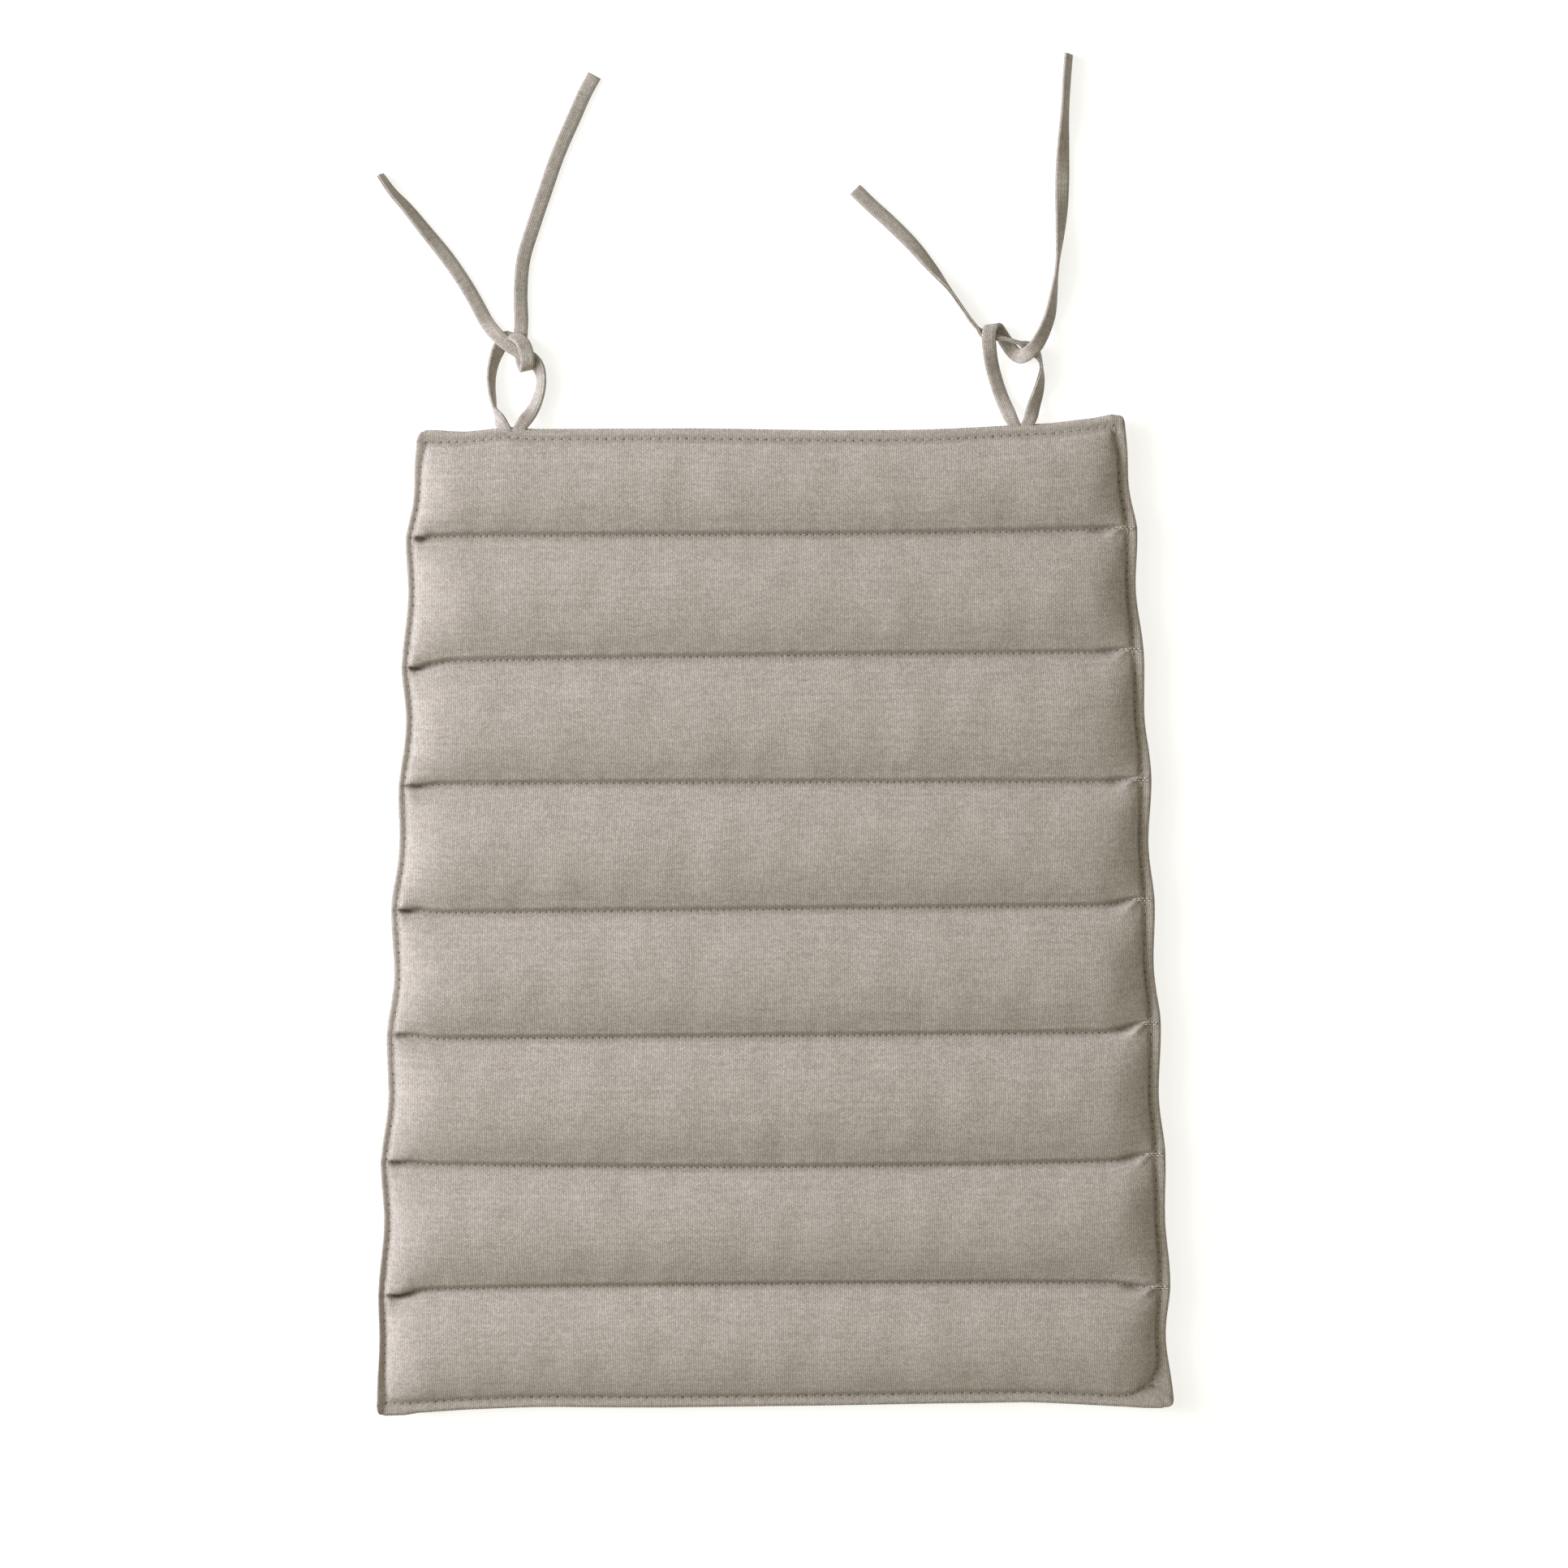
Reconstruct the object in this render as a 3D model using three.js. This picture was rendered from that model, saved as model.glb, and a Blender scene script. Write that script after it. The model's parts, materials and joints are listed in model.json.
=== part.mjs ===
// Quilted chair seat pad. Two cloth covers hold wadding in eight channels that run across the
// pad. Lines of quilting thread part the channels, a border thread closes the edge, and two tape
// ties are sewn into the rear seam. Millimetres, +Z up, +Y towards the rear (tie) edge. The pad
// lies flat, with the origin at the middle of its resting plane.
import * as THREE from "three";

// Outline
const DEPTH = 520;
const FRONT_WIDTH = 420;
const REAR_WIDTH = 376;
const SIDE_PULL = 2; // how far the quilting draws each side in at the middle of a channel

// Channels, counted from the rear
const CHANNEL_COUNT = 8;
const CHANNEL_PITCH = 66.5;
const REAR_CHANNEL = 55.5; // rear edge to the first quilting thread

// Thickness
const CROWN_Z = 22;
const SEAM_Z = 9; // height of the quilting thread, and of the fold line
const SEAM_HALF = 1.3; // half the thickness of the pad where it is sewn
const COVER = 0.8;
const WADDING_GAP = 0.4;
const SEAM_GAP = 0.6; // half the gap between the covers of two neighbouring channels

// Sewn border and threads
const BORDER = 6; // flat strip round the edge
const BORDER_THREAD_INSET = 5;
const BORDER_THREAD_WIDTH = 0.8;
const BORDER_THREAD_HEIGHT = 0.4;
const QUILTING_THREAD_WIDTH = 0.6;
const QUILTING_THREAD_HEIGHT = 0.8;
const THREAD_END_GAP = 0.5;

// Crown of a channel, 0 at its sewn edges and 1 on its flat top, by the share of its length
const LENGTH_STATIONS = [0, 0.12, 0.35, 0.65, 0.88, 1];
const LENGTH_CROWN = [0, 0.6, 1, 1, 0.6, 0];
// The same across the pad, by the distance inside the border
const WIDTH_STATIONS = [0, 10, 35];
const WIDTH_CROWN = [0, 0.6, 1];

// Ties
const TIE_DIAMETER = 3.9; // a round stand-in with the section area of the folded tape
const TIE_SIDES = 8;
const TIE_STEPS = 40;

const CLOTH = { color: 0xaca49a, roughness: 0.95, metalness: 0 };
const WADDING = { color: 0xf0eeea, roughness: 1, metalness: 0 };
const THREAD = { color: 0x9c9284, roughness: 0.8, metalness: 0 };

const pad = new THREE.Group();

function addPiece(name, geometry, finish) {
  const mesh = new THREE.Mesh(geometry, new THREE.MeshStandardMaterial(finish));
  mesh.name = name;
  pad.add(mesh);
}

// ---- Outline and stations ----

function seamY(seam) {
  return DEPTH / 2 - REAR_CHANNEL - (seam - 1) * CHANNEL_PITCH;
}

// Channel n lies between quilting threads n - 1 and n; the end channels reach the edge.
function channelSpan(channel) {
  const rear = channel === 1 ? DEPTH / 2 : seamY(channel - 1);
  const front = channel === CHANNEL_COUNT ? -DEPTH / 2 : seamY(channel);
  return { front, rear };
}

function halfWidth(channel, y) {
  const { front, rear } = channelSpan(channel);
  const share = (y - front) / (rear - front);
  const straight = THREE.MathUtils.mapLinear(y, -DEPTH / 2, DEPTH / 2, FRONT_WIDTH / 2, REAR_WIDTH / 2);
  return straight - SIDE_PULL * 4 * share * (1 - share);
}

// Rows of a channel from front to rear, each with its crown
function channelRows(channel) {
  const { front, rear } = channelSpan(channel);
  const isFront = channel === CHANNEL_COUNT;
  const isRear = channel === 1;
  const low = front + (isFront ? BORDER : SEAM_GAP);
  const high = rear - (isRear ? BORDER : SEAM_GAP);
  const rows = LENGTH_STATIONS.map((share, i) => ({
    y: THREE.MathUtils.lerp(low, high, share),
    crown: LENGTH_CROWN[i],
  }));
  if (isFront) rows.unshift({ y: front, crown: 0 });
  if (isRear) rows.push({ y: rear, crown: 0 });
  return rows;
}

// Columns of one row, from left to right
function rowColumns(channel, row) {
  const edge = halfWidth(channel, row.y);
  const left = WIDTH_STATIONS.map((inset, i) => ({
    x: inset + BORDER - edge,
    y: row.y,
    crown: row.crown * WIDTH_CROWN[i],
  }));
  left.unshift({ x: -edge, y: row.y, crown: 0 });
  const right = left.map((station) => ({ ...station, x: -station.x })).reverse();
  return [...left, ...right];
}

function channelGrid(channel) {
  return channelRows(channel).map((row) => rowColumns(channel, row));
}

// The stations that the wadding reaches: those with some crown both ways
function waddingGrid(channel) {
  const crowned = channelRows(channel).filter((row) => row.crown > 0);
  return crowned.map((row) => rowColumns(channel, row).filter((station) => station.crown > 0));
}

// ---- Slabs that follow the crown ----

function coverTop(crown) {
  return SEAM_Z + SEAM_HALF + crown * (CROWN_Z - SEAM_Z - SEAM_HALF);
}

function coverBottom(crown) {
  return SEAM_Z - SEAM_HALF - crown * (SEAM_Z - SEAM_HALF);
}

// A closed slab over a grid of stations, between two heights that depend on the crown
function slab(grid, upper, lower) {
  const rows = grid.length;
  const columns = grid[0].length;
  const positions = [];
  for (const height of [upper, lower]) {
    for (const row of grid) {
      for (const station of row) {
        positions.push(station.x, station.y, height(station.crown));
      }
    }
  }
  const triangles = [];
  const quad = (a, b, c, d) => triangles.push(a, b, c, a, c, d);
  const up = (row, column) => row * columns + column;
  const down = (row, column) => (rows + row) * columns + column;
  const lastRow = rows - 1;
  const lastColumn = columns - 1;
  for (let r = 0; r < lastRow; r += 1) {
    for (let c = 0; c < lastColumn; c += 1) {
      quad(up(r, c), up(r, c + 1), up(r + 1, c + 1), up(r + 1, c));
      quad(down(r, c), down(r + 1, c), down(r + 1, c + 1), down(r, c + 1));
    }
  }
  for (let c = 0; c < lastColumn; c += 1) {
    quad(down(0, c), down(0, c + 1), up(0, c + 1), up(0, c));
    quad(down(lastRow, c + 1), down(lastRow, c), up(lastRow, c), up(lastRow, c + 1));
  }
  for (let r = 0; r < lastRow; r += 1) {
    quad(down(r + 1, 0), down(r, 0), up(r, 0), up(r + 1, 0));
    quad(down(r, lastColumn), down(r + 1, lastColumn), up(r + 1, lastColumn), up(r, lastColumn));
  }
  const geometry = new THREE.BufferGeometry();
  geometry.setAttribute("position", new THREE.Float32BufferAttribute(positions, 3));
  geometry.setIndex(triangles);
  return geometry;
}

function addChannel(channel) {
  const grid = channelGrid(channel);
  const topInner = (crown) => coverTop(crown) - COVER;
  const bottomInner = (crown) => coverBottom(crown) + COVER;
  addPiece(`top_cover_${channel}`, slab(grid, coverTop, topInner), CLOTH);
  addPiece(`bottom_cover_${channel}`, slab(grid, bottomInner, coverBottom), CLOTH);
  const waddingTop = (crown) => topInner(crown) - WADDING_GAP;
  const waddingBottom = (crown) => bottomInner(crown) + WADDING_GAP;
  addPiece(`wadding_${channel}`, slab(waddingGrid(channel), waddingTop, waddingBottom), WADDING);
}

// ---- Threads ----

function addQuiltingThread(seam) {
  const y = seamY(seam);
  const length = 2 * (halfWidth(seam, y) - THREAD_END_GAP);
  const thread = new THREE.BoxGeometry(length, QUILTING_THREAD_WIDTH, QUILTING_THREAD_HEIGHT);
  thread.translate(0, y, SEAM_Z);
  addPiece(`quilting_thread_${seam}`, thread, THREAD);
}

// Points of a line a fixed inset inside the edge: up the left side, from front to rear
function insetSide(channel, inset) {
  const rows = channelRows(channel);
  const points = rows.map((row) => new THREE.Vector2(inset - halfWidth(channel, row.y), row.y));
  if (channel === 1) points.at(-1).y -= inset;
  if (channel === CHANNEL_COUNT) points[0].y += inset;
  return points;
}

function mirrored(points) {
  return points.map((point) => new THREE.Vector2(-point.x, point.y)).reverse();
}

// The inset line that one channel's border thread follows
function borderLine(channel, inset) {
  const left = insetSide(channel, inset);
  if (channel === 1) return [...left.filter(awayFromBorder), ...mirrored(left.filter(awayFromBorder))];
  if (channel === CHANNEL_COUNT) {
    return [...left.filter(awayFromBorder).reverse(), ...mirrored(left.filter(awayFromBorder)).reverse()];
  }
  return left;
}

// Leaves out the station where the border strip ends, just inside the thread
function awayFromBorder(point) {
  return Math.abs(Math.abs(point.y) - (DEPTH / 2 - BORDER)) > 0.01;
}

function borderThread(line) {
  const near = BORDER_THREAD_INSET - BORDER_THREAD_WIDTH / 2;
  const far = BORDER_THREAD_INSET + BORDER_THREAD_WIDTH / 2;
  const outline = new THREE.Shape([...line(near), ...line(far).reverse()]);
  const thread = new THREE.ExtrudeGeometry(outline, { depth: BORDER_THREAD_HEIGHT, bevelEnabled: false });
  thread.translate(0, 0, SEAM_Z - BORDER_THREAD_HEIGHT / 2);
  return thread;
}

function addBorderThreads(channel) {
  const line = (inset) => borderLine(channel, inset);
  if (channel === 1) {
    addPiece("border_thread_rear", borderThread(line), THREAD);
  } else if (channel === CHANNEL_COUNT) {
    addPiece("border_thread_front", borderThread(line), THREAD);
  } else {
    addPiece(`border_thread_left_${channel}`, borderThread(line), THREAD);
    addPiece(`border_thread_right_${channel}`, borderThread((inset) => mirrored(line(inset))), THREAD);
  }
}

// ---- Ties ----

// Each tail leaves the rear seam, passes through the half knot and lies out behind the pad.
// Points are hand-chosen along its centreline.
const TIE_ROUTES = {
  // Down the left of the knot, under the other tail, over the other leg and back beneath it
  tie_left_inner_tail: [
    [-142.4, 263, 8.6],
    [-145.6, 269, 5.8],
    [-147, 275, 3.6],
    [-147.9, 281.5, 2.2],
    [-148, 288.5, 2.1],
    [-146.6, 296, 2.1],
    [-144, 303, 2.1],
    [-141, 308, 2.4],
    [-137.8, 309.2, 4.6],
    [-133.8, 308.2, 8.6],
    [-130.6, 305, 11],
    [-129, 300.4, 11],
    [-128.5, 296, 10.8],
    [-128.7, 292.7, 8.2],
    [-129.5, 291.9, 5],
    [-130.6, 294, 2.4],
    [-131.8, 299, 2.1],
    [-132.6, 305, 2.1],
    [-132.4, 311, 2.1],
    [-132, 318, 2.1],
    [-132.2, 332, 2.1],
    [-130.6, 350, 2.1],
    [-125, 368.5, 2.1],
    [-118.6, 387, 2.1],
    [-111.8, 406, 2.1],
    [-103.6, 424.4, 2.1],
    [-97.2, 438.6, 2.1],
    [-92.4, 447.2, 2.1],
  ],
  // Through the middle of the knot, over the first leg and out to the left
  tie_left_outer_tail: [
    [-131, 263, 8.6],
    [-126.8, 269, 5.8],
    [-123.6, 275.5, 3.2],
    [-121.8, 282, 2.8],
    [-121.6, 288, 4.4],
    [-123.4, 293.6, 6.2],
    [-127.2, 297.6, 6.6],
    [-133, 301.2, 6.6],
    [-140.2, 305.8, 6.7],
    [-145.8, 311, 5.4],
    [-150.4, 317.2, 3],
    [-154, 324, 2.1],
    [-160.4, 335.6, 2.1],
    [-170.7, 351, 2.1],
    [-181.8, 365, 2.1],
    [-191.8, 377.5, 2.1],
    [-199.5, 386, 2.1],
    [-206, 395.2, 2.1],
  ],
  // Up over the other leg, back beneath it, and over it again to the right
  tie_right_outer_tail: [
    [127, 263, 8.6],
    [124, 270.5, 5.4],
    [121, 278.5, 2.8],
    [118.4, 287, 3],
    [116.6, 294.5, 6],
    [115.5, 301.5, 9.8],
    [115.2, 306.8, 11],
    [115.9, 310.9, 10.2],
    [117.6, 312.9, 7.2],
    [119.9, 311.7, 3.6],
    [122.2, 308.4, 2.1],
    [124.8, 304.4, 2.1],
    [128, 299.8, 2.4],
    [131.4, 296.8, 5.6],
    [135.6, 297.9, 10],
    [139.6, 301.5, 10.8],
    [143, 306.8, 8.6],
    [145.9, 313, 5],
    [148.2, 320, 2.4],
    [149.9, 330, 2.1],
    [151.8, 344.4, 2.1],
    [153.9, 367.7, 2.1],
    [154.8, 388, 2.1],
    [155.3, 405, 2.1],
    [156.5, 426.6, 2.1],
    [157.5, 442.5, 2.1],
    [158.7, 456.6, 2.1],
  ],
  // Through the middle of the knot and out to the left
  tie_right_inner_tail: [
    [136.6, 263, 8.6],
    [139, 270.5, 5.6],
    [141.5, 278.6, 3.2],
    [142.9, 286, 3.2],
    [143, 291.6, 4.8],
    [141.8, 296.2, 5.8],
    [139.4, 299.4, 6.4],
    [136, 301.7, 6.6],
    [132, 303.5, 6.6],
    [128, 304.9, 6.6],
    [124, 306.1, 6.6],
    [118.8, 307.2, 6.6],
    [113.8, 308.7, 6.5],
    [110.2, 311.2, 5.4],
    [106.4, 315.4, 3.6],
    [101.6, 322.4, 2.1],
    [94.2, 333, 2.1],
    [85.1, 344.6, 2.1],
    [75.3, 356.6, 2.1],
    [63.6, 368.5, 2.1],
    [53.3, 378, 2.1],
    [45.2, 386, 2.1],
  ],
};

function addTail(name, route) {
  const curve = new THREE.CatmullRomCurve3(route.map((point) => new THREE.Vector3(...point)));
  // Steps follow the route's own points, which lie closest together in the knot
  curve.getPointAt = curve.getPoint;
  curve.getTangentAt = curve.getTangent;
  const section = new THREE.Shape();
  for (let side = 0; side < TIE_SIDES; side += 1) {
    const angle = (2 * Math.PI * side) / TIE_SIDES;
    const x = (TIE_DIAMETER / 2) * Math.cos(angle);
    const y = (TIE_DIAMETER / 2) * Math.sin(angle);
    if (side === 0) section.moveTo(x, y);
    else section.lineTo(x, y);
  }
  section.closePath();
  const tube = new THREE.ExtrudeGeometry(section, { steps: TIE_STEPS, extrudePath: curve });
  addPiece(name, tube, CLOTH);
}

for (let channel = 1; channel <= CHANNEL_COUNT; channel += 1) {
  addChannel(channel);
  addBorderThreads(channel);
}
for (let seam = 1; seam < CHANNEL_COUNT; seam += 1) {
  addQuiltingThread(seam);
}
for (const [name, route] of Object.entries(TIE_ROUTES)) {
  addTail(name, route);
}

export default pad;
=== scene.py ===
import json
import math

import bpy
import numpy as np
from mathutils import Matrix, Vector


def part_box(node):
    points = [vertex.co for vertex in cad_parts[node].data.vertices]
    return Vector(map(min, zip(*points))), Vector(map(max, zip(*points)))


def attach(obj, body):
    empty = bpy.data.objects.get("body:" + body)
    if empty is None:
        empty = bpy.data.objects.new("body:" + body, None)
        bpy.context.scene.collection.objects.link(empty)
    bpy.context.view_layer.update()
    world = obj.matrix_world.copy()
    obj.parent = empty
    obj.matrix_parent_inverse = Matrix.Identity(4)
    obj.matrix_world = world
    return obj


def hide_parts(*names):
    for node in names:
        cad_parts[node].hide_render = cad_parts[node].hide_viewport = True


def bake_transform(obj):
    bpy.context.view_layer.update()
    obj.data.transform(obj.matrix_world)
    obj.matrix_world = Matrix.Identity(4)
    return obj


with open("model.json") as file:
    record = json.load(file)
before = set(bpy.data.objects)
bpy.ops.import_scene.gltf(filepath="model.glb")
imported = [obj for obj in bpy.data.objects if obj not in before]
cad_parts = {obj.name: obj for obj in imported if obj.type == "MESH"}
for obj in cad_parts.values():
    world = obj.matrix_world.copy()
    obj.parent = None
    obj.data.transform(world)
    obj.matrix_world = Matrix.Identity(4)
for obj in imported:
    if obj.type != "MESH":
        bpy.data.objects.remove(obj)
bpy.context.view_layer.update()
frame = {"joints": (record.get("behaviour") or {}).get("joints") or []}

# ---- Sizes, in metres and radians ----

MM = 0.001
FOLDS = sorted((j for j in frame["joints"] if j["name"].startswith("fold")), key=lambda j: j["name"])
SEAMS = [fold["pos_m"][1] for fold in FOLDS]  # from the rear to the front
SEAM_Z = FOLDS[0]["pos_m"][2]
CHANNELS = len(SEAMS) + 1
REAR_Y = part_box("top_cover_1")[1].y
FRONT_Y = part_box(f"top_cover_{CHANNELS}")[0].y
FRONT_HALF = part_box(f"top_cover_{CHANNELS}")[1].x
REAR_HALF = 0.188
PITCH = SEAMS[0] - SEAMS[1]

BORDER = 5 * MM  # sewn border outside the topstitch
SEAM_FLARE = [-1.5] + [2.5] * 6 + [1.9, 0.5]  # millimetres that the sides stand out at each sewn line
CHANNEL_FLARE = [-1.0] + [0.2] * 7  # and at the middle of each channel
SEAM_HALF = 1.1 * MM  # half the pad's thickness at a stitch
BORDER_HALF = 1.5 * MM  # half the border's thickness
BORDER_INSETS = [0, 0.4 * MM, 1.4 * MM, 3.2 * MM]  # rings of the border, from its fold inwards
CORNER_ROUND = 0.55  # how far the border's corners are rounded, 0 to 1
SIM_CELL = 3.6 * MM
CLOTH_THICKNESS = 0.7 * MM
QUILT_PITCH = 3.4 * MM
BORDER_PITCH = 4.6 * MM
THREAD_RADIUS = 0.24 * MM
TAPE_WIDTH = 7.5 * MM
TAPE_THICKNESS = 2.1 * MM

TOP, BOTTOM = 1, -1


def smoothstep(x):
    x = np.clip(x, 0, 1)
    return x * x * (3 - 2 * x)


# ---- Camera, straight above as in the photograph ----

VIEW_CENTRE = (0.0054, 0.0714)
VIEW_WIDTH = 0.8308
VIEW_HEIGHT = 2.6
VIEW_ROLL = -0.4


def make_camera():
    data = bpy.data.cameras.new("camera")
    data.lens = data.sensor_width * VIEW_HEIGHT / VIEW_WIDTH
    camera = bpy.data.objects.new("camera", data)
    camera.location = (*VIEW_CENTRE, VIEW_HEIGHT)
    camera.rotation_euler = (0, 0, math.radians(VIEW_ROLL))
    bpy.context.collection.objects.link(camera)
    bpy.context.scene.camera = camera


# ---- Materials ----


class Nodes:
    """A short way to build a node tree: each call adds a node and gives back its output."""

    def __init__(self, name):
        self.material = bpy.data.materials.new(name)
        self.material.use_nodes = True
        self.tree = self.material.node_tree
        self.shader = self.tree.nodes["Principled BSDF"]

    def link(self, source, target):
        if isinstance(source, (int, float, tuple)):
            target.default_value = source
        else:
            self.tree.links.new(source, target)

    def add(self, kind, output, settings=None, **inputs):
        node = self.tree.nodes.new(kind)
        for key, value in (settings or {}).items():
            setattr(node, key, value)
        for key, value in inputs.items():
            self.link(value, node.inputs[key.replace("_", " ")])
        return node.outputs[output]

    def math(self, operation, *values, clamp=False):
        node = self.tree.nodes.new("ShaderNodeMath")
        node.operation = operation
        node.use_clamp = clamp
        for value, target in zip(values, node.inputs):
            self.link(value, target)
        return node.outputs[0]

    def uv(self, layer):
        return self.add("ShaderNodeUVMap", "UV", {"uv_map": layer})

    def split(self, vector):
        node = self.tree.nodes.new("ShaderNodeSeparateXYZ")
        self.link(vector, node.inputs[0])
        return node.outputs["X"], node.outputs["Y"]

    def join(self, x, y):
        node = self.tree.nodes.new("ShaderNodeCombineXYZ")
        self.link(x, node.inputs["X"])
        self.link(y, node.inputs["Y"])
        return node.outputs[0]

    def noise(self, vector, scale, detail=2.0, roughness=0.5):
        settings = {"noise_dimensions": "2D"}
        return self.add("ShaderNodeTexNoise", 0, settings, Vector=vector, Scale=scale, Detail=detail,
                        Roughness=roughness)

    def remap(self, value, low, high, to_low, to_high):
        node = self.tree.nodes.new("ShaderNodeMapRange")
        for key, number in zip(("From Min", "From Max", "To Min", "To Max"), (low, high, to_low, to_high)):
            node.inputs[key].default_value = number
        self.link(value, node.inputs["Value"])
        return node.outputs[0]

    def mix(self, factor, a, b, blend="MIX"):
        node = self.tree.nodes.new("ShaderNodeMix")
        node.data_type = "RGBA"
        node.blend_type = blend
        self.link(factor, node.inputs["Factor"])
        self.link(a, node.inputs[6])
        self.link(b, node.inputs[7])
        return node.outputs[2]

    def grey(self, value):
        return self.add("ShaderNodeCombineColor", 0, None, Red=value, Green=value, Blue=value)

    def bump(self, height, distance, strength=1.0):
        return self.add("ShaderNodeBump", 0, None, Height=height, Distance=distance, Strength=strength)


def linear(red, green, blue):
    """The scene-linear colour of an sRGB one with values up to 255."""
    def channel(value):
        value /= 255
        return value / 12.92 if value <= 0.04045 else ((value + 0.055) / 1.055) ** 2.4
    return channel(red), channel(green), channel(blue), 1.0


WEAVE = "weave"  # UV layer: the cloth's own pattern, in millimetres
STITCHED = "stitched"  # UV layer: stitches along the nearest seam, and millimetres from it
WARP_PITCH, FLOAT_PITCH = 1.12, 1.06  # millimetres; a warp yarn shows once in each float pitch
CLOTH_WARM = linear(176, 166, 160)
CLOTH_COOL = linear(169, 163, 154)
# Painted shade: the colour that the seams' creases and needle holes are darkened towards
SEAM_SHADE_COLOUR = linear(84, 76, 62)
THREAD_COLOUR = linear(174, 165, 153)
TACK_COLOUR = linear(222, 216, 206)


def wandering_yarns(n, u, v):
    """u and v shifted a little from place to place, so that no yarn lies quite straight."""
    shifted = []
    for value, aside in ((u, 0.0), (v, 40.0)):
        place = n.join(n.math("ADD", n.math("DIVIDE", u, 6.0), aside), n.math("DIVIDE", v, 6.0))
        wander = n.math("SUBTRACT", n.noise(place, 1.0, 3.0, 0.6), 0.5)
        shifted.append(n.math("ADD", value, n.math("MULTIPLY", wander, 1.2)))
    return shifted


def cloth_material(name, stitched):
    """Plain-weave melange canvas: columns of warp floats, each with its own tone, and weft slubs, with painted
    shade in the gaps between yarns and painted light on their tops. A stitched cloth also gets painted shade in its
    needle holes and along its seams' creases.
    """
    n = Nodes(name)
    u, v = wandering_yarns(n, *n.split(n.uv(WEAVE)))
    warp = n.math("DIVIDE", u, WARP_PITCH)
    column = n.math("FLOOR", warp)
    rib = n.math("SINE", n.math("MULTIPLY", n.math("FRACT", warp), math.pi))
    offset = n.math("MULTIPLY", n.math("MODULO", column, 2.0), 0.5)
    floats = n.math("ADD", n.math("DIVIDE", v, FLOAT_PITCH), offset)
    number = n.math("FLOOR", floats)
    swell = n.math("SINE", n.math("MULTIPLY", n.math("FRACT", floats), math.pi))
    ribbed = n.math("ADD", 0.34, n.math("MULTIPLY", rib, 0.66))
    height = n.math("MULTIPLY", ribbed, n.math("ADD", 0.3, n.math("MULTIPLY", swell, 0.7)))

    own = n.add("ShaderNodeTexWhiteNoise", "Value", {"noise_dimensions": "2D"}, Vector=n.join(column, number))
    own_tone = n.remap(own, 0, 1, 0.87, 1.13)
    weft_row = n.math("FLOOR", n.math("DIVIDE", v, FLOAT_PITCH / 2))
    along_weft = n.join(n.math("DIVIDE", u, 13.0), n.math("MULTIPLY", weft_row, 5.17))
    slub = n.remap(n.noise(along_weft, 1.0, 2.0, 0.6), 0.22, 0.36, 0.88, 1.0)
    along_warp = n.join(n.math("MULTIPLY", column, 7.31), n.math("DIVIDE", v, 14.0))
    streak = n.remap(n.noise(along_warp, 1.0, 2.0, 0.6), 0.3, 0.7, 0.97, 1.03)
    # Painted shade and light: darker in the gaps between yarns, lighter on the yarns' tops
    yarn_gap_shade = n.remap(height, 0.1, 0.9, 0.53, 1.34)
    across_weft = n.join(n.math("DIVIDE", u, 42.0), n.math("DIVIDE", v, 2.0))
    mottle = n.remap(n.noise(across_weft, 1.0, 3.0, 0.6), 0.32, 0.68, 0.94, 1.06)
    tone = n.math("MULTIPLY", n.math("MULTIPLY", own_tone, slub), n.math("MULTIPLY", streak, mottle))
    shade = n.math("MULTIPLY", tone, yarn_gap_shade)

    drift = n.noise(n.join(n.math("MULTIPLY", u, 0.22), n.math("MULTIPLY", v, 0.55)), 1.0, 2.0, 0.6)
    base = n.mix(n.remap(drift, 0.35, 0.65, 0, 1), CLOTH_WARM, CLOTH_COOL)
    colour = n.mix(1.0, base, n.grey(shade), "MULTIPLY")
    relief = n.math("MULTIPLY", height, 0.13)
    if stitched:
        along, away = n.split(n.uv(STITCHED))
        phase = n.math("SUBTRACT", n.math("FRACT", along), 0.5)
        step = n.math("MULTIPLY", phase, BORDER_PITCH / MM)
        gap = n.math("SQRT", n.math("ADD", n.math("POWER", step, 2.0), n.math("POWER", away, 2.0)))
        stitch = n.join(n.math("FLOOR", along), n.math("FLOOR", n.math("DIVIDE", v, 20.0)))
        plain = n.add("ShaderNodeTexWhiteNoise", "Value", {"noise_dimensions": "2D"}, Vector=stitch)
        # Painted shade: each needle hole is darkened (and also dented in the bump), and a band along each seam's
        # crease is darkened
        hole_dent_and_shade = n.math("MULTIPLY", n.remap(gap, 0.25, 0.85, 1.0, 0.0), n.remap(plain, 0, 1, 0.5, 0.95))
        seam_crease_shade = n.remap(n.math("ABSOLUTE", away), 0.8, 3.0, 0.2, 0.0)
        painted_seam_shade = n.math("MAXIMUM", hole_dent_and_shade, seam_crease_shade)
        colour = n.mix(painted_seam_shade, colour, SEAM_SHADE_COLOUR)
        relief = n.math("SUBTRACT", relief, n.math("MULTIPLY", hole_dent_and_shade, 0.35))
    n.link(colour, n.shader.inputs["Base Color"])
    n.link(n.bump(relief, MM, 0.8), n.shader.inputs["Normal"])
    n.link(n.remap(own, 0, 1, 0.98, 0.86), n.shader.inputs["Roughness"])
    n.shader.inputs["Specular IOR Level"].default_value = 0.25
    n.shader.inputs["Sheen Weight"].default_value = 0.12
    n.shader.inputs["Sheen Roughness"].default_value = 0.5
    return n.material


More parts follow.
